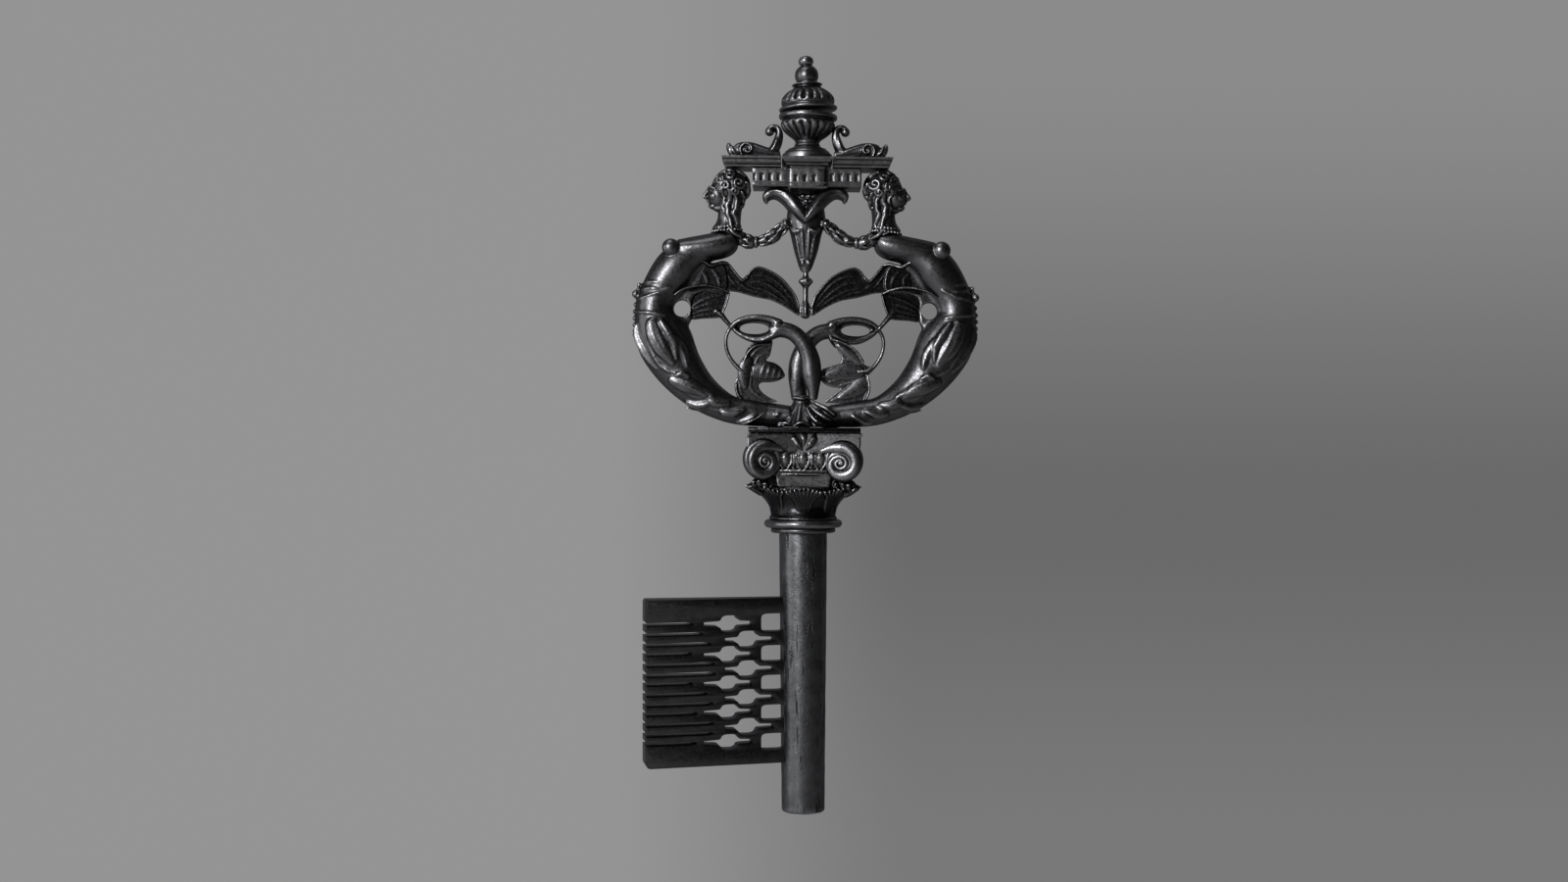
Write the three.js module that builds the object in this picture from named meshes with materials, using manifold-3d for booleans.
// A chamberlain key of dark chiselled steel, standing upright on the tip of its shank.
// Millimetres, +Z along the shank towards the bow, front towards -Y, bit towards -X.
// The origin is the mouth of the pipe bore, at the centre of the shank's tip.
import * as THREE from 'three';
import { mergeVertices } from 'three/addons/utils/BufferGeometryUtils.js';
import Module from 'manifold-3d';

const wasm = await Module();
wasm.setup();

// Scale of the photograph and fits shared by all pieces
const pixelSize = 0.18;
const clearance = 0.25;
const cutOverrun = 1;
const weldDistance = 0.0001;
const edgeBreak = 0.15;

// Shank: a hollow pipe with a socket for the tenon at its upper end
const shankLength = 51.1;
const shankTipRadius = 3.95;
const shankTopRadius = 4.4;
const shankEdge = 0.5;
const boreRadius = 2.5;
const boreWeb = 4;

// Tenon that joins shank, collars and capital
const tenonRadius = 1.8;
const tenonDepth = 5;
const tenonRise = 11;

// Collars between shank and capital
const ringRadius = 5.95;
const ringHeight = 0.92;
const torusRadius = 7.15;
const torusHeight = 1.48;
const torusFlatShare = 0.88;
const torusFacets = 4;

// Bit: the flag of the key, cut by a comb, two rows of crosses and a row of sockets
const bitTurn = THREE.MathUtils.degToRad(12);
const bitBottom = 9.2;
const bitHeight = 30.1;
const bitReach = 29.3;
const bitEndThickness = 6;
const bitRootThickness = 3;
const crossPitch = 5.35;
const wardSlot = 0.65;
const crossA = { count: 5, centre: 14.4, width: 2.65, height: 2.65, outwards: 4.4, inwards: 4.7 };
const crossB = { count: 4, centre: 10.9, width: 3.05, height: 2.65, outwards: 4.2, inwards: 5.4 };
const socketDepth = 3.4;
const socketHeight = 2.75;
const combSlot = 0.45;
const combShort = 9.2;
const combLong = 12.3;
const combTeethPerCross = 3;

// Lean of the bow, the urn and its lid
const bowLean = THREE.MathUtils.degToRad(0.65);
const urnLean = THREE.MathUtils.degToRad(1);
const lidCock = THREE.MathUtils.degToRad(4.25);

// Depths of the bow's pieces, front to back
const bellDepthShare = 0.8;
const capitalDepth = 11.2;
const bolsterDepth = 12.6;
const voluteThickness = 0.9;
const echinusThickness = 1.2;
const abacusDepth = 13.6;
const sirenChestDepth = 7.6;
const sirenPlateDepth = 3.6;
const breastRadius = 1.65;
const breastSpread = 1.9;
const headDepth = 6.8;
const faceDepthShare = 0.4;
const wingDepth = 2.2;
const finDepth = 1.8;
const scrollDepth = 2.9;
const leafDepth = 2.2;
const maskDepth = 6;
const hornDepth = 3;
const garlandDepth = 3;
const dolphinDepth = 2.6;
const friezeDepth = 7;
const corniceDepth = 9.2;
const centreBlockDepth = 9.8;
const centreCorniceDepth = 11.8;
const fluteDepth = 0.4;

// Pins inside the bow and the urn
const bowPinRadius = 1.1;
const urnPinRadius = 1;
const spindleRadius = 0.6;
const spindleLash = 0.7;

// Places in the photograph, in its pixels
const shankAxisPx = 819.5;
const bowBasePx = 529.7;

const bellProfilePx = [[34, 528.2], [33, 522], [34.5, 515], [42, 506], [50.5, 499], [51.5, 496.6]];
const capitalHalfPx = [[56, 443], [56, 452.3], [23.3, 454.5], [23.3, 495.2]];
const bolsterPx = { centre: [39.9, 471.5], halfWidth: 15, halfHeight: 17.4 };
const voluteEyePx = 4;
const echinusPx = { halfWidth: 22, top: 462, bottom: 478 };
const palmetteHalfPx = [[2, 443], [10, 444.5], [9, 451], [3, 459], [0, 460]];
const abacusPx = { halfWidth: 56.2, top: 436.4, bottom: 441.5 };
const skirtProfilePx = [[24.5, 435], [21, 428], [13.5, 419], [9.5, 412], [9, 406.2]];
const bowPinPx = { bottom: 450, top: 416 };

const sirenBodyPx = [
  [716, 259], [694, 270], [674, 292], [665, 318], [675, 347], [690, 375], [714, 401], [742, 417],
  [768, 421.5], [788, 422],
];
const sirenHalfWidthPx = [14, 25, 22, 20.5, 29, 26, 21, 15, 13.5, 13];
const sirenDepthShares = [0.8, 1, 0.82, 0.92, 1, 0.92, 0.82, 0.72, 0.66, 0.62];
const sirenChestPx = [
  [729, 237.5], [722.7, 239.1], [710.4, 243], [696.6, 245.3], [684, 246], [676, 252], [672, 261.3],
  [668, 272], [678, 296], [684, 308], [684, 326], [690, 332], [701, 329.5], [706, 322], [708, 314],
  [706.5, 306], [711, 302], [722, 297], [740, 294], [740.5, 280], [739.5, 264.4], [744, 257],
  [750, 250], [756, 244], [757, 239.5],
];
const sirenHolePx = { centre: [695.9, 314.9], radius: 8.4 };
const breastPx = [684, 252.5];

const headPx = { skull: [744, 194], skullHalf: [22, 19], face: [733.5, 201], faceHalf: [14, 14.5] };
const nosePx = { tip: [719.5, 200], radius: 3 };
const neckPx = [[747, 205], [745, 220], [743, 235.8]];
const neckHalfWidthPx = [13, 11.5, 13.5];

const wingPx = [
  [742.2, 266.7], [750, 276], [757.3, 284], [762, 279], [767.6, 271.8], [774.7, 270.8],
  [785.9, 274.9], [797, 282], [806, 292], [811, 299], [814.5, 307], [815.3, 314], [814.8, 322],
  [805.3, 315.7], [795, 309.6], [783.9, 305], [770.6, 303.5], [758.4, 299.4], [742.2, 296.5],
];
const finPx = [
  [712.5, 303.5], [722, 299.5], [735, 297], [743.5, 300.5], [742, 306], [740.5, 313.4], [738.5, 319.5],
  [744.6, 328.6], [741.2, 331.6], [734, 323.8], [716.5, 325.3], [708, 326.5], [710, 320], [711.2, 314],
];
const scrollPx = [
  [745.6, 333.3], [750, 329.4], [762.5, 322.6], [774.7, 320.3], [787, 322.6], [803.5, 328], [815, 335],
  [821.8, 341.8], [828.7, 349.8], [834.5, 362.5], [837.3, 375], [836.8, 386.6], [833.3, 399.2],
  [831, 404.5], [826, 404.5], [824, 400.4], [818.4, 388.9], [815.5, 371.7], [815, 357.9],
  [810.4, 349.8], [803.5, 344.7], [795.4, 343.5], [787.4, 346.4], [779, 349], [771.6, 348.6],
  [760, 344], [752.5, 338.5], [748.8, 341], [744.4, 348], [745.5, 359.5], [750.5, 369], [757, 375],
  [753.3, 378.5], [747, 371.5], [741, 360.8], [739.5, 347],
];
const scrollHolePx = { centre: [770, 334], halfWidth: 13.8, halfHeight: 5 };
const leafPx = [
  [786, 351.5], [778, 352.5], [769, 355], [762, 362], [759.5, 369], [759.3, 377], [756, 381.5],
  [750.7, 388.9], [751, 396], [754, 403.5], [760, 405], [777, 405.8], [792, 405.6], [783, 399],
  [775, 392], [773.5, 388.5], [785, 388], [795, 385.5], [800, 380.5], [797, 376.5], [790, 372],
  [785, 369.5], [784.5, 365], [787, 358],
];

const pendantProfilePx = [
  [0, 325], [4, 324], [5, 317], [4.2, 311], [3, 309], [3, 292], [6.9, 289.5], [6.9, 285], [3, 282.5],
  [3, 277], [0, 277],
];
const maskHalfPx = [
  [16.5, 197.5], [17.5, 205], [19.5, 213], [20.5, 219], [25.5, 227], [22.5, 232], [16, 238],
  [12.2, 251.4], [7.6, 271.8], [5, 275.5],
];
const hornPx = [
  [779.5, 194.7], [805, 194.7], [803.6, 203.5], [799.6, 206], [796, 203], [791, 201.9], [786, 203.5],
  [783, 206.5], [780.5, 205], [779, 198],
];
const outerGarlandPx = [[760, 243.5], [765.5, 246.5], [770.5, 246]];
const outerGarlandHalfPx = [5, 6.5, 5.5];
const innerGarlandPx = [[773, 245.5], [785, 241.5], [795.5, 234]];
const innerGarlandHalfPx = [6.5, 6.5, 3.5];

const friezePx = { outer: 55, top: 174.5, bottom: 193.2, fluteTop: 177, fluteBottom: 185.4 };
const centreBlockPx = { halfWidth: 17.5, top: 173.2, bottom: 196, fluteTop: 178.2, fluteBottom: 186.6 };
const centreCornicePx = { halfWidth: 26, top: 164.4, bottom: 172 };
const cornicePx = { outer: 86.5, top: 163.2, middle: 168.6, bottom: 173.2 };
const fluteHalfPx = 1.8;
const fluteCount = 4;
const centreFluteCount = 3;
const dolphinPx = [
  [744, 161.8], [743, 149], [746, 147], [749, 150], [753, 146], [758, 143.5], [765, 143.8], [775, 147],
  [783, 146.5], [787, 141], [785, 139.5], [781, 138], [779.5, 134], [781.5, 130], [785.5, 128.8],
  [789.5, 131], [793, 129.8], [794.6, 133], [793.2, 142], [793, 150], [796, 161.8],
];

const footProfilePx = [
  [25.6, 163], [25.6, 156], [22, 154.5], [20, 152], [14, 149.5], [12.4, 147.6], [12.4, 146.2],
];
const footSocketPx = 150;
const urnPinPx = { bottom: 180, top: 150.6 };
const urnPivotPx = 146;
const bowlRisePx = [[12.5, 1.2], [13.5, 3], [18, 6], [24.5, 11.5], [27.8, 17], [28, 20], [26, 22.2]];
const bowlBoreRisePx = 6;
const rimRisePx = [[27.6, 23.6], [29.8, 25.2], [29.8, 27.4], [27.6, 29]];
const lidRimRisePx = [[28, 0], [29.8, 1.4], [29.8, 3.2], [28, 4.6]];
const lidDomeRisePx = [[26, 6], [27.2, 9.5], [25.8, 14.5], [21.4, 19], [16, 22], [14, 23.6]];
const lidCollarRisePx = [[12, 25], [15.3, 26], [15.3, 27], [12, 28]];
const lidBallRisePx = [[7, 29.4], [10.6, 32.4], [12, 37], [10.6, 41.8], [6.4, 45]];
const lidKnobRisePx = [[5.2, 46.4], [7.4, 49.6], [7, 53.2], [4, 55.6]];
const lidKnobTopRisePx = 56.3;
const spindleBottomRisePx = -21;
const knobCapPx = 4.3;

// Counts of repeated ornament and of the facets that round it
const roundSides = 24;
const smallSides = 12;
const facetsPerWave = 2;
const bodySteps = 20;
const bodySides = 10;
const limbSteps = 5;
const bellLobes = 8;
const bellLobeShare = 0.07;
const skirtFlutes = 10;
const skirtFluteShare = 0.08;
const gadroons = 12;
const gadroonShare = 0.05;

// Colours and finish of the steel
const darkSteel = { color: 0x3a3a3c, roughness: 0.42, metalness: 0.95 };
const wornSteel = { color: 0x4a4a4c, roughness: 0.36, metalness: 0.95 };
const hiddenSteel = { color: 0x5a5a5c, roughness: 0.5, metalness: 0.9 };

// Levels along the shank
const ringBase = shankLength;
const torusBase = ringBase + ringHeight;
const capitalBase = torusBase + torusHeight;
const bitRoot = shankTopRadius + clearance;
const tenonHole = tenonRadius + clearance;
const bowPinHole = bowPinRadius + clearance;
const urnPinHole = urnPinRadius + clearance;
const spindleHole = spindleRadius + clearance;
const spindleBore = spindleRadius + spindleLash;

function piece(name, geometry, finish) {
  const mesh = new THREE.Mesh(closed(geometry), new THREE.MeshStandardMaterial(finish));
  mesh.name = name;
  return mesh;
}

// Welds a geometry into one closed surface and turns its faces outwards.
function closed(source) {
  const bare = source.clone();
  bare.deleteAttribute('normal');
  bare.deleteAttribute('uv');
  const welded = mergeVertices(bare, weldDistance);
  const corners = welded.index.array;
  const kept = [];
  for (let i = 0; i < corners.length; i += 3) {
    const [a, b, c] = [corners[i], corners[i + 1], corners[i + 2]];
    if (a !== b && b !== c && c !== a) {
      kept.push(a, b, c);
    }
  }
  if (signedVolume(welded.attributes.position, kept) < 0) {
    kept.reverse();
  }
  welded.setIndex(kept);
  welded.computeVertexNormals();
  return welded;
}

function signedVolume(position, corners) {
  const [a, b, c] = [new THREE.Vector3(), new THREE.Vector3(), new THREE.Vector3()];
  let sum = 0;
  for (let i = 0; i < corners.length; i += 3) {
    a.fromBufferAttribute(position, corners[i]);
    b.fromBufferAttribute(position, corners[i + 1]);
    c.fromBufferAttribute(position, corners[i + 2]);
    sum += a.dot(b.cross(c));
  }
  return sum;
}

function solidOf(geometry) {
  const shell = closed(geometry);
  return new wasm.Manifold(new wasm.Mesh({
    numProp: 3,
    vertProperties: new Float32Array(shell.attributes.position.array),
    triVerts: new Uint32Array(shell.index.array),
  }));
}

function geometryOf(solid) {
  const mesh = solid.getMesh();
  const geometry = new THREE.BufferGeometry();
  geometry.setAttribute('position', new THREE.BufferAttribute(mesh.vertProperties, mesh.numProp));
  geometry.setIndex(Array.from(mesh.triVerts));
  return geometry;
}

function joined(...geometries) {
  return geometryOf(geometries.map(solidOf).reduce((whole, next) => whole.add(next)));
}

function cut(geometry, ...cutters) {
  return geometryOf(cutters.map(solidOf).reduce((whole, next) => whole.subtract(next), solidOf(geometry)));
}

// Places in the bow's own frame, measured from its leaning axis.
function rise(py) {
  return (bowBasePx - py) * pixelSize;
}

function bowPoint([px, py]) {
  const axisPx = shankAxisPx + (bowBasePx - py) * Math.tan(bowLean);
  return new THREE.Vector2((px - axisPx) * pixelSize, rise(py));
}

function halfPoint([halfPx, py]) {
  return new THREE.Vector2(halfPx * pixelSize, rise(py));
}

function risePoint([radiusPx, risePx]) {
  return new THREE.Vector2(radiusPx * pixelSize, risePx * pixelSize);
}

function symmetric(halfOutlinePx) {
  const right = halfOutlinePx.map(halfPoint);
  const left = right.map((p) => new THREE.Vector2(-p.x, p.y)).reverse();
  return [...right, ...left.filter((p) => p.x < 0)];
}

function mirrored(geometry) {
  return geometry.clone().scale(-1, 1, 1);
}

// A plate standing in the plane of the bow, with broken edges and through holes.
function plate(outline, depth, { holes = [], bevel = edgeBreak, offset = 0 } = {}) {
  const isClockwise = THREE.ShapeUtils.isClockWise(outline);
  const shape = new THREE.Shape(isClockwise ? [...outline].reverse() : outline);
  shape.holes = holes;
  const geometry = new THREE.ExtrudeGeometry(shape, {
    depth: depth - 2 * bevel,
    bevelEnabled: true,
    bevelThickness: bevel,
    bevelSize: bevel,
    bevelOffset: -bevel,
    bevelSegments: 1,
  });
  geometry.translate(0, 0, bevel - depth / 2);
  geometry.rotateX(Math.PI / 2);
  geometry.translate(0, offset, 0);
  return geometry;
}

// A turned piece: the outline is closed and gives radius and height.
function turned(outline, sides = roundSides) {
  const geometry = new THREE.LatheGeometry(outline, sides);
  geometry.rotateX(Math.PI / 2);
  return geometry;
}

function turnedRing(holeRadius, outer) {
  const [first, last] = [outer[0], outer[outer.length - 1]];
  const inner = [new THREE.Vector2(holeRadius, last.y), new THREE.Vector2(holeRadius, first.y)];
  return turned([...outer, ...inner, first]);
}

// Waves the radius of a turned piece, as lobes, flutes or gadroons.
function waved(geometry, count, share, weightAt, depthShareAt = () => 1) {
  const position = geometry.attributes.position;
  for (let i = 0; i < position.count; i += 1) {
    const [x, y, z] = [position.getX(i), position.getY(i), position.getZ(i)];
    const radius = Math.hypot(x, y);
    const wave = 1 + share * weightAt(radius, z) * Math.cos(count * Math.atan2(y, x));
    position.setXYZ(i, x * wave, y * wave * depthShareAt(radius, z), z);
  }
  return geometry;
}

// A body of oval section that follows a line in the plane of the bow.
function swept(line, halfWidths, halfDepths, steps, sides) {
  const path = new THREE.CatmullRomCurve3(line.map((p) => new THREE.Vector3(p.x, 0, p.y)));
  const halves = halfWidths.map((width, i) => new THREE.Vector3(width, halfDepths[i], 0));
  const section = new THREE.CatmullRomCurve3(halves);
  const outline = [new THREE.Vector2(0, 0)];
  for (let i = 0; i <= steps; i += 1) {
    outline.push(new THREE.Vector2(1, i / steps));
  }
  outline.push(new THREE.Vector2(0, 1));
  const geometry = new THREE.LatheGeometry(outline, sides);
  const position = geometry.attributes.position;
  for (let i = 0; i < position.count; i += 1) {
    const share = position.getY(i);
    const centre = path.getPoint(share);
    const along = path.getTangent(share);
    const size = section.getPoint(share);
    const aside = position.getX(i) * size.x;
    position.setXYZ(
      i,
      centre.x - along.z * aside,
      position.getZ(i) * size.y,
      centre.z + along.x * aside,
    );
  }
  return geometry;
}

function ellipsoid(centre, halfX, halfY, halfZ) {
  const geometry = new THREE.SphereGeometry(1, smallSides, smallSides / 2);
  geometry.scale(halfX, halfY, halfZ);
  geometry.translate(centre.x, 0, centre.y);
  return geometry;
}

function uprightPin(radius, bottom, top) {
  const geometry = new THREE.CylinderGeometry(radius, radius, top - bottom, smallSides);
  geometry.rotateX(Math.PI / 2);
  geometry.translate(0, 0, (bottom + top) / 2);
  return geometry;
}

function block(left, right, depth, bottom, top) {
  const geometry = new THREE.BoxGeometry(right - left, depth, top - bottom);
  geometry.translate((left + right) / 2, 0, (bottom + top) / 2);
  return geometry;
}

function ovalHole(centre, halfWidth, halfHeight) {
  const hole = new THREE.Path();
  hole.absellipse(centre.x, centre.y, halfWidth, halfHeight, 0, 2 * Math.PI, true, 0);
  return new THREE.Path(hole.getPoints(smallSides / 2).slice(1));
}

function shankPipe() {
  const socketFloor = shankLength - tenonDepth;
  const boreTop = socketFloor - boreWeb;
  return turned([
    new THREE.Vector2(0, boreTop),
    new THREE.Vector2(boreRadius, boreTop),
    new THREE.Vector2(boreRadius, 0),
    new THREE.Vector2(shankTipRadius - shankEdge, 0),
    new THREE.Vector2(shankTipRadius, shankEdge),
    new THREE.Vector2(shankTopRadius, shankLength),
    new THREE.Vector2(tenonHole, shankLength),
    new THREE.Vector2(tenonHole, socketFloor),
    new THREE.Vector2(0, socketFloor),
  ]);
}

function tenonPin() {
  return uprightPin(tenonRadius, shankLength - tenonDepth + clearance, capitalBase + tenonRise);
}

function collarRing() {
  return turnedRing(tenonHole, [
    new THREE.Vector2(ringRadius - edgeBreak, ringBase),
    new THREE.Vector2(ringRadius, ringBase + edgeBreak),
    new THREE.Vector2(ringRadius, torusBase - edgeBreak),
    new THREE.Vector2(ringRadius - edgeBreak, torusBase),
  ]);
}

function collarTorus() {
  const outer = [];
  for (let i = 0; i <= torusFacets; i += 1) {
    const angle = Math.PI * (i / torusFacets);
    const bulge = torusRadius * (1 - torusFlatShare) * Math.sin(angle);
    const height = (torusHeight * (1 - Math.cos(angle))) / 2;
    outer.push(new THREE.Vector2(torusRadius * torusFlatShare + bulge, torusBase + height));
  }
  return turnedRing(tenonHole, outer);
}

// One cross: a square body with a saw slot on either side, as a hole in the bit.
function crossOutline(cross, height) {
  const [out, body] = [cross.centre + cross.outwards, cross.centre + cross.width / 2];
  const [inn, neck] = [cross.centre - cross.inwards, cross.centre - cross.width / 2];
  const [half, slot] = [cross.height / 2, wardSlot / 2];
  const corners = [
    [out, slot], [body, slot], [body, half], [neck, half], [neck, slot], [inn, slot],
    [inn, -slot], [neck, -slot], [neck, -half], [body, -half], [body, -slot], [out, -slot],
  ];
  return new THREE.Path(corners.map(([reach, up]) => new THREE.Vector2(-reach, height + up)));
}

function bitOutline() {
  const [bottom, top] = [bitBottom, bitBottom + bitHeight];
  const middle = (bottom + top) / 2;
  const corners = [[bitRoot, top], [bitReach, top]];
  const combPitch = crossPitch / combTeethPerCross;
  const combCount = (crossA.count - 1) * combTeethPerCross + 1;
  for (let i = 0; i < combCount; i += 1) {
    const height = middle + ((combCount - 1) / 2 - i) * combPitch;
    const floor = bitReach - (i % combTeethPerCross === 0 ? combShort : combLong);
    corners.push([bitReach, height + combSlot / 2], [floor, height + combSlot / 2]);
    corners.push([floor, height - combSlot / 2], [bitReach, height - combSlot / 2]);
  }
  corners.push([bitReach, bottom], [bitRoot, bottom]);
  for (let i = 0; i < crossA.count; i += 1) {
    const height = middle + (i - (crossA.count - 1) / 2) * crossPitch;
    const floor = bitRoot + socketDepth;
    corners.push([bitRoot, height - socketHeight / 2], [floor, height - socketHeight / 2]);
    corners.push([floor, height + socketHeight / 2], [bitRoot, height + socketHeight / 2]);
  }
  const shape = new THREE.Shape(corners.map(([reach, height]) => new THREE.Vector2(-reach, height)));
  for (const cross of [crossA, crossB]) {
    for (let i = 0; i < cross.count; i += 1) {
      shape.holes.push(crossOutline(cross, middle + (i - (cross.count - 1) / 2) * crossPitch));
    }
  }
  return shape;
}

// The bit grows thicker from the shank to its outer end.
function bitFlag() {
  const geometry = new THREE.ExtrudeGeometry(bitOutline(), { depth: 1, bevelEnabled: false });
  geometry.translate(0, 0, -0.5);
  geometry.rotateX(Math.PI / 2);
  const position = geometry.attributes.position;
  for (let i = 0; i < position.count; i += 1) {
    const share = (-position.getX(i) - bitRoot) / (bitReach - bitRoot);
    const thickness = bitRootThickness + (bitEndThickness - bitRootThickness) * share;
    position.setY(i, position.getY(i) * thickness);
  }
  return geometry;
}

function capitalBell() {
  const outer = bellProfilePx.map(halfPoint);
  const [bottom, top] = [outer[0].y, outer[outer.length - 1].y];
  const climb = (z) => (z - bottom) / (top - bottom);
  const bell = turnedRing(tenonHole, outer);
  const isOuter = (radius) => (radius > tenonHole + clearance ? 1 : 0);
  return waved(
    bell,
    bellLobes,
    bellLobeShare,
    (radius, z) => isOuter(radius) * climb(z),
    (radius, z) => 1 - isOuter(radius) * (1 - bellDepthShare) * climb(z),
  );
}

function capitalBlock() {
  const body = plate(symmetric(capitalHalfPx), capitalDepth);
  const tenonSocket = uprightPin(tenonHole, -cutOverrun, rise(bellProfilePx[0][1]) + tenonRise + clearance);
  const pinSocket = uprightPin(bowPinHole, rise(bowPinPx.bottom) - clearance, rise(abacusPx.top));
  return cut(body, tenonSocket, pinSocket);
}

function capitalBolster() {
  const [halfPx, py] = bolsterPx.centre;
  const centre = new THREE.Vector2(-halfPx * pixelSize, rise(py));
  const geometry = new THREE.CylinderGeometry(1, 1, bolsterDepth, smallSides);
  geometry.scale(bolsterPx.halfWidth * pixelSize, 1, bolsterPx.halfHeight * pixelSize);
  geometry.translate(centre.x, 0, centre.y);
  return geometry;
}

// A volute is a disc at the end of its bolster with a raised eye.
function frontVolute() {
  const [halfPx, py] = bolsterPx.centre;
  const eye = voluteEyePx * pixelSize;
  const eyeTop = voluteThickness + eye / 2;
  const disc = turned([
    new THREE.Vector2(0, 0),
    new THREE.Vector2(1 - voluteThickness / bolsterDepth, 0),
    new THREE.Vector2(1, voluteThickness / 2),
    new THREE.Vector2(1 - voluteThickness / bolsterDepth, voluteThickness),
    new THREE.Vector2(eye, voluteThickness),
    new THREE.Vector2(eye, eyeTop),
    new THREE.Vector2(0, eyeTop),
  ], smallSides);
  disc.scale(bolsterPx.halfWidth * pixelSize, bolsterPx.halfHeight * pixelSize, 1);
  disc.rotateX(Math.PI / 2);
  disc.translate(-halfPx * pixelSize, -bolsterDepth / 2 - clearance, rise(py));
  return disc;
}

function backwards(geometry) {
  return geometry.clone().scale(1, -1, 1);
}

function frontEchinus() {
  const { halfWidth, top, bottom } = echinusPx;
  const half = halfWidth * pixelSize;
  const egg = block(-half, half, echinusThickness, rise(bottom), rise(top));
  egg.translate(0, -(capitalDepth + echinusThickness) / 2 - clearance, 0);
  return egg;
}

function frontPalmette() {
  const leaf = plate(symmetric(palmetteHalfPx), echinusThickness);
  leaf.translate(0, -(capitalDepth + echinusThickness) / 2 - clearance, 0);
  return leaf;
}

function abacusPlate() {
  const half = abacusPx.halfWidth * pixelSize;
  const slab = block(-half, half, abacusDepth, rise(abacusPx.bottom), rise(abacusPx.top));
  return cut(slab, uprightPin(bowPinHole, rise(bowPinPx.bottom), rise(bowPinPx.top)));
}

function shellSkirt() {
  const outer = skirtProfilePx.map(halfPoint);
  const socketTop = rise(bowPinPx.top) + clearance;
  const skirt = turned([
    new THREE.Vector2(0, socketTop),
    new THREE.Vector2(bowPinHole, socketTop),
    new THREE.Vector2(bowPinHole, outer[0].y),
    ...outer,
    new THREE.Vector2(0, outer[outer.length - 1].y),
  ], skirtFlutes * facetsPerWave);
  const isOuter = (radius) => (radius > bowPinHole ? 1 : 0);
  return waved(skirt, skirtFlutes, skirtFluteShare, isOuter);
}

function bowPin() {
  return uprightPin(bowPinRadius, rise(bowPinPx.bottom), rise(bowPinPx.top));
}

// Left siren: torso and tail as one swept body, with chest, breasts and the round hole.
function leftSiren() {
  const halfWidths = sirenHalfWidthPx.map((half) => half * pixelSize);
  const halfDepths = sirenDepthShares.map((share) => (share * sirenChestDepth) / 2);
  const body = swept(sirenBodyPx.map(bowPoint), halfWidths, halfDepths, bodySteps, bodySides);
  const chest = plate(sirenChestPx.map(bowPoint), sirenPlateDepth);
  const breast = ellipsoid(bowPoint(breastPx), breastRadius, breastRadius, breastRadius);
  const front = breast.clone().translate(0, -breastSpread, 0);
  const back = breast.clone().translate(0, breastSpread, 0);
  const hole = new THREE.CylinderGeometry(1, 1, sirenChestDepth + cutOverrun, smallSides);
  const holeRadius = sirenHolePx.radius * pixelSize;
  const centre = bowPoint(sirenHolePx.centre);
  hole.scale(holeRadius, 1, holeRadius);
  hole.translate(centre.x, 0, centre.y);
  return cut(joined(body, chest, front, back), hole);
}

function leftHead() {
  const [skullX, skullZ] = headPx.skullHalf.map((half) => half * pixelSize);
  const [faceX, faceZ] = headPx.faceHalf.map((half) => half * pixelSize);
  const skull = ellipsoid(bowPoint(headPx.skull), skullX, headDepth / 2, skullZ);
  const face = ellipsoid(bowPoint(headPx.face), faceX, headDepth * faceDepthShare, faceZ);
  const nose = nosePx.radius * pixelSize;
  const tip = ellipsoid(bowPoint(nosePx.tip), nose, nose, nose);
  const neckWidths = neckHalfWidthPx.map((half) => half * pixelSize);
  const neck = swept(neckPx.map(bowPoint), neckWidths, neckWidths, limbSteps, bodySides);
  return joined(skull, face, tip, neck);
}

function leftWing() {
  return plate(wingPx.map(bowPoint), wingDepth);
}

function leftFin() {
  return plate(finPx.map(bowPoint), finDepth);
}

// The left scroll crosses in front of the right one.
function leftScroll() {
  const { centre, halfWidth, halfHeight } = scrollHolePx;
  const hole = ovalHole(bowPoint(centre), halfWidth * pixelSize, halfHeight * pixelSize);
  const offset = -(scrollDepth + clearance) / 2;
  return plate(scrollPx.map(bowPoint), scrollDepth, { holes: [hole], offset });
}

function leftLeaf() {
  return plate(leafPx.map(bowPoint), leafDepth);
}

function pendant() {
  return turned(pendantProfilePx.map(halfPoint), smallSides);
}

function ramMask() {
  return plate(symmetric(maskHalfPx), maskDepth, { bevel: 2 * edgeBreak });
}

function leftHorn() {
  return plate(hornPx.map(bowPoint), hornDepth);
}

function garland(linePx, halfPx) {
  const widths = halfPx.map((half) => half * pixelSize);
  const depths = halfPx.map((half) => (half / Math.max(...halfPx)) * (garlandDepth / 2));
  return swept(linePx.map(bowPoint), widths, depths, limbSteps, bodySides);
}

function fluteCutters(inner, outer, count, depth, { fluteTop, fluteBottom }) {
  const spacing = (outer - inner) / count;
  const half = fluteHalfPx * pixelSize;
  const cutters = [];
  for (let i = 0; i < count; i += 1) {
    const centre = inner + (i + 0.5) * spacing;
    for (const side of [-1, 1]) {
      const cutter = block(centre - half, centre + half, 2 * fluteDepth, rise(fluteBottom), rise(fluteTop));
      cutters.push(cutter.translate(0, (side * depth) / 2, 0));
    }
  }
  return cutters;
}

function leftFrieze() {
  const left = -friezePx.outer * pixelSize;
  const right = -centreBlockPx.halfWidth * pixelSize - clearance;
  const slab = block(left, right, friezeDepth, rise(friezePx.bottom), rise(friezePx.top));
  return cut(slab, ...fluteCutters(left, right, fluteCount, friezeDepth, friezePx));
}

function centreBlock() {
  const half = centreBlockPx.halfWidth * pixelSize;
  const slab = block(-half, half, centreBlockDepth, rise(centreBlockPx.bottom), rise(centreBlockPx.top));
  const socket = uprightPin(urnPinHole, rise(urnPinPx.bottom) - clearance, rise(centreCornicePx.top));
  return cut(slab, socket, ...fluteCutters(-half, half, centreFluteCount, centreBlockDepth, centreBlockPx));
}

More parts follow.
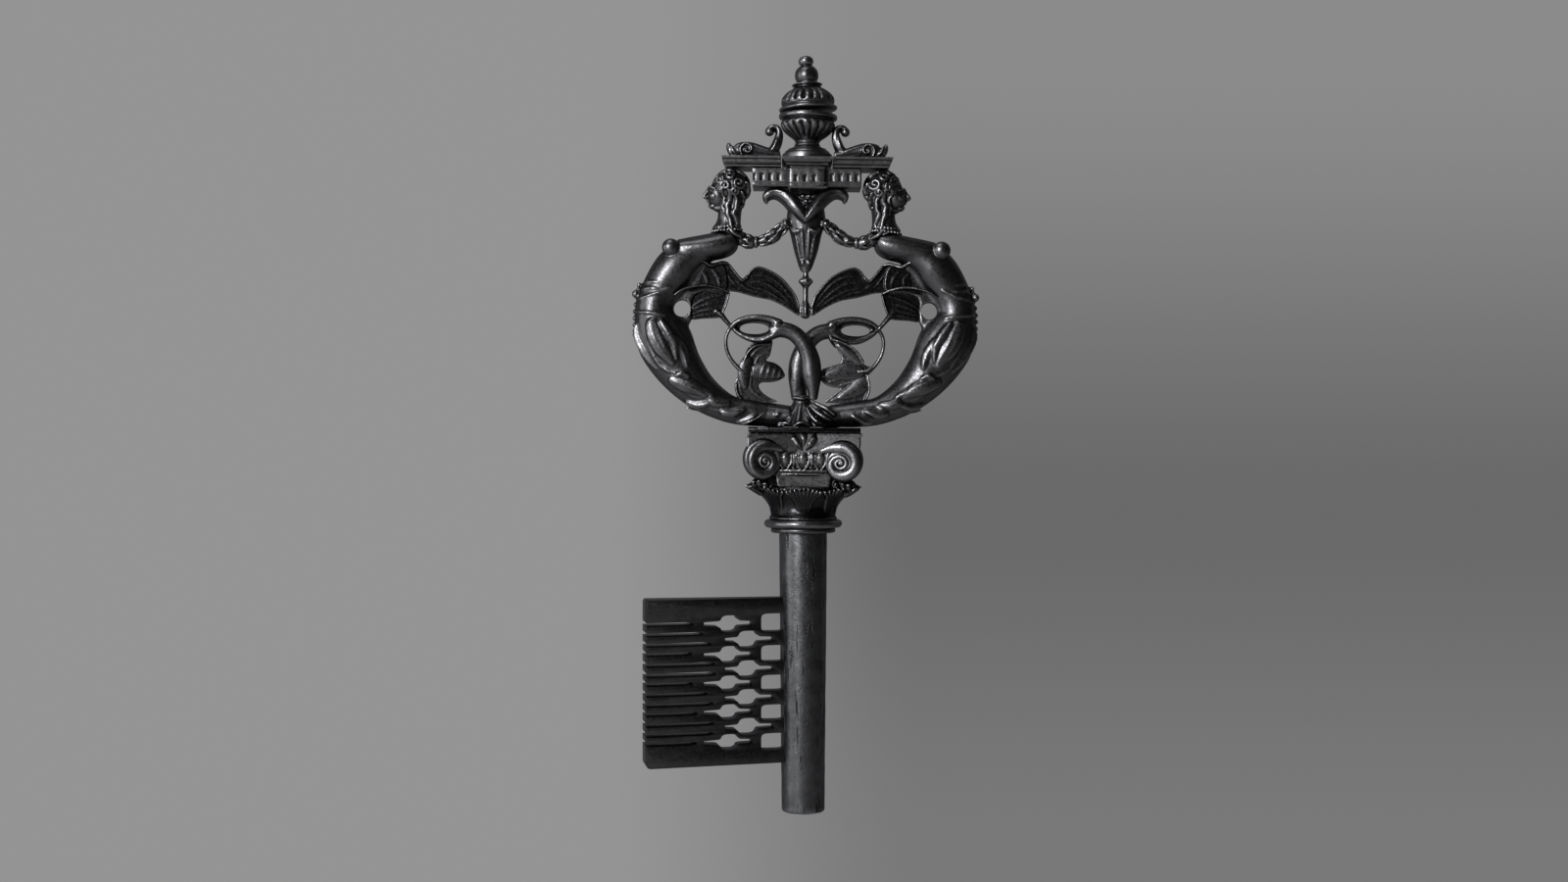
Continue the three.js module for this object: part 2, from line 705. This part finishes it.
// A moulding that steps out upwards, drawn across its depth and run along X.
function moulding(left, right, depth, { top, middle, bottom }) {
  const lower = (depth - corniceDepth + friezeDepth) / 2;
  const profile = [
    [lower, bottom], [lower, (middle + bottom) / 2], [depth / 2 - edgeBreak, middle],
    [depth / 2, middle], [depth / 2, top],
  ];
  const front = profile.map(([y, py]) => new THREE.Vector2(y, rise(py)));
  const back = front.map((p) => new THREE.Vector2(-p.x, p.y)).reverse();
  const run = { depth: right - left, bevelEnabled: false };
  const geometry = new THREE.ExtrudeGeometry(new THREE.Shape([...front, ...back]), run);
  geometry.rotateX(Math.PI / 2);
  geometry.rotateZ(Math.PI / 2);
  geometry.translate(left, 0, 0);
  return geometry;
}

function leftCornice() {
  const left = -cornicePx.outer * pixelSize;
  const right = -centreCornicePx.halfWidth * pixelSize - clearance;
  return moulding(left, right, corniceDepth, cornicePx);
}

function centreCornice() {
  const { halfWidth, top, bottom } = centreCornicePx;
  const half = halfWidth * pixelSize;
  const levels = { top, middle: (top + bottom) / 2, bottom };
  const slab = moulding(-half, half, centreCorniceDepth, levels);
  return cut(slab, uprightPin(urnPinHole, rise(urnPinPx.bottom), rise(urnPinPx.top)));
}

function leftDolphin() {
  return plate(dolphinPx.map(bowPoint), dolphinDepth);
}

function urnFoot() {
  const outer = footProfilePx.map(halfPoint);
  const socketTop = rise(footSocketPx) + clearance;
  return turned([
    new THREE.Vector2(0, socketTop),
    new THREE.Vector2(urnPinHole, socketTop),
    new THREE.Vector2(urnPinHole, outer[0].y),
    ...outer,
    new THREE.Vector2(0, outer[outer.length - 1].y),
  ]);
}

function urnPin() {
  return uprightPin(urnPinRadius, rise(urnPinPx.bottom), rise(urnPinPx.top));
}

function urnBowl() {
  const outer = bowlRisePx.map(risePoint);
  const top = outer[outer.length - 1].y;
  const boreFloor = bowlBoreRisePx * pixelSize;
  const bowl = turned([
    new THREE.Vector2(0, outer[0].y),
    ...outer,
    new THREE.Vector2(spindleBore, top),
    new THREE.Vector2(spindleBore, boreFloor),
    new THREE.Vector2(0, boreFloor),
  ], gadroons * facetsPerWave);
  const bulge = (radius) => (radius > 2 * spindleBore ? 1 : 0);
  return waved(bowl, gadroons, gadroonShare, bulge);
}

function urnRim() {
  return turnedRing(spindleBore, rimRisePx.map(risePoint));
}

function lidRim() {
  return turnedRing(spindleHole, lidRimRisePx.map(risePoint));
}

function lidDome() {
  const dome = new THREE.LatheGeometry(
    [
      ...lidDomeRisePx.map(risePoint),
      new THREE.Vector2(spindleHole, lidDomeRisePx[lidDomeRisePx.length - 1][1] * pixelSize),
      new THREE.Vector2(spindleHole, lidDomeRisePx[0][1] * pixelSize),
      risePoint(lidDomeRisePx[0]),
    ],
    gadroons * facetsPerWave,
  );
  dome.rotateX(Math.PI / 2);
  const bulge = (radius) => (radius > 3 * spindleHole ? 1 : 0);
  return waved(dome, gadroons, gadroonShare, bulge);
}

function lidCollar() {
  return turnedRing(spindleHole, lidCollarRisePx.map(risePoint));
}

function lidBall() {
  return turnedRing(spindleHole, lidBallRisePx.map(risePoint));
}

// The spindle ends under the cap of the knob that holds it.
function spindleTop() {
  return (lidKnobTopRisePx - knobCapPx) * pixelSize;
}

function lidKnob() {
  const outer = lidKnobRisePx.map(risePoint);
  const socketTop = spindleTop() + clearance;
  return turned([
    new THREE.Vector2(0, socketTop),
    new THREE.Vector2(spindleHole, socketTop),
    new THREE.Vector2(spindleHole, outer[0].y),
    ...outer,
    new THREE.Vector2(0, lidKnobTopRisePx * pixelSize),
  ], smallSides);
}

function lidSpindle() {
  return uprightPin(spindleRadius, spindleBottomRisePx * pixelSize, spindleTop());
}

// Adds a left piece and its mirror image.
function pair(parent, name, geometry, finish) {
  parent.add(piece(`${name}_left`, geometry, finish));
  parent.add(piece(`${name}_right`, mirrored(geometry), finish));
}

const group = new THREE.Group();
group.add(piece('shank_pipe', shankPipe(), darkSteel));
group.add(piece('tenon_pin', tenonPin(), hiddenSteel));
group.add(piece('collar_ring', collarRing(), wornSteel));
group.add(piece('collar_torus', collarTorus(), wornSteel));

const bitGroup = new THREE.Group();
bitGroup.rotation.z = bitTurn;
bitGroup.add(piece('bit', bitFlag(), darkSteel));
group.add(bitGroup);

const bow = new THREE.Group();
bow.position.z = capitalBase;
bow.rotation.y = bowLean;
group.add(bow);

bow.add(piece('capital_bell', capitalBell(), darkSteel));
bow.add(piece('capital_block', capitalBlock(), darkSteel));
pair(bow, 'capital_bolster', capitalBolster(), darkSteel);
pair(bow, 'volute_front', frontVolute(), wornSteel);
pair(bow, 'volute_back', backwards(frontVolute()), wornSteel);
bow.add(piece('echinus_front', frontEchinus(), darkSteel));
bow.add(piece('echinus_back', backwards(frontEchinus()), darkSteel));
bow.add(piece('palmette_front', frontPalmette(), wornSteel));
bow.add(piece('palmette_back', backwards(frontPalmette()), wornSteel));
bow.add(piece('abacus_plate', abacusPlate(), darkSteel));
bow.add(piece('bow_pin', bowPin(), hiddenSteel));
bow.add(piece('shell_skirt', shellSkirt(), wornSteel));

pair(bow, 'siren', leftSiren(), darkSteel);
pair(bow, 'siren_head', leftHead(), wornSteel);
pair(bow, 'wing', leftWing(), darkSteel);
pair(bow, 'fin', leftFin(), darkSteel);
bow.add(piece('tail_scroll_left', leftScroll(), wornSteel));
bow.add(piece('tail_scroll_right', backwards(mirrored(leftScroll())), wornSteel));
pair(bow, 'leaf', leftLeaf(), darkSteel);

bow.add(piece('pendant', pendant(), wornSteel));
bow.add(piece('ram_mask', ramMask(), darkSteel));
pair(bow, 'ram_horn', leftHorn(), darkSteel);
pair(bow, 'garland_outer', garland(outerGarlandPx, outerGarlandHalfPx), wornSteel);
pair(bow, 'garland_inner', garland(innerGarlandPx, innerGarlandHalfPx), wornSteel);

pair(bow, 'frieze', leftFrieze(), darkSteel);
pair(bow, 'cornice', leftCornice(), darkSteel);
bow.add(piece('centre_block', centreBlock(), darkSteel));
bow.add(piece('centre_cornice', centreCornice(), darkSteel));
pair(bow, 'dolphin', leftDolphin(), wornSteel);
bow.add(piece('urn_pin', urnPin(), hiddenSteel));
bow.add(piece('urn_foot', urnFoot(), wornSteel));

const urn = new THREE.Group();
urn.position.z = rise(urnPivotPx);
urn.rotation.y = urnLean;
bow.add(urn);
urn.add(piece('urn_bowl', urnBowl(), darkSteel));
urn.add(piece('urn_rim', urnRim(), wornSteel));

// The lid sits cocked on the rim: its low side rests there, its high side stands open.
const lid = new THREE.Group();
const rimTop = rimRisePx[rimRisePx.length - 1][1] * pixelSize;
const lidRadius = lidRimRisePx[1][0] * pixelSize;
lid.position.z = rimTop + lidRadius * Math.tan(lidCock) + clearance;
lid.rotation.y = -lidCock;
urn.add(lid);
lid.add(piece('lid_spindle', lidSpindle(), hiddenSteel));
lid.add(piece('lid_rim', lidRim(), wornSteel));
lid.add(piece('lid_dome', lidDome(), darkSteel));
lid.add(piece('lid_collar', lidCollar(), wornSteel));
lid.add(piece('lid_ball', lidBall(), darkSteel));
lid.add(piece('lid_knob', lidKnob(), wornSteel));

export default group;
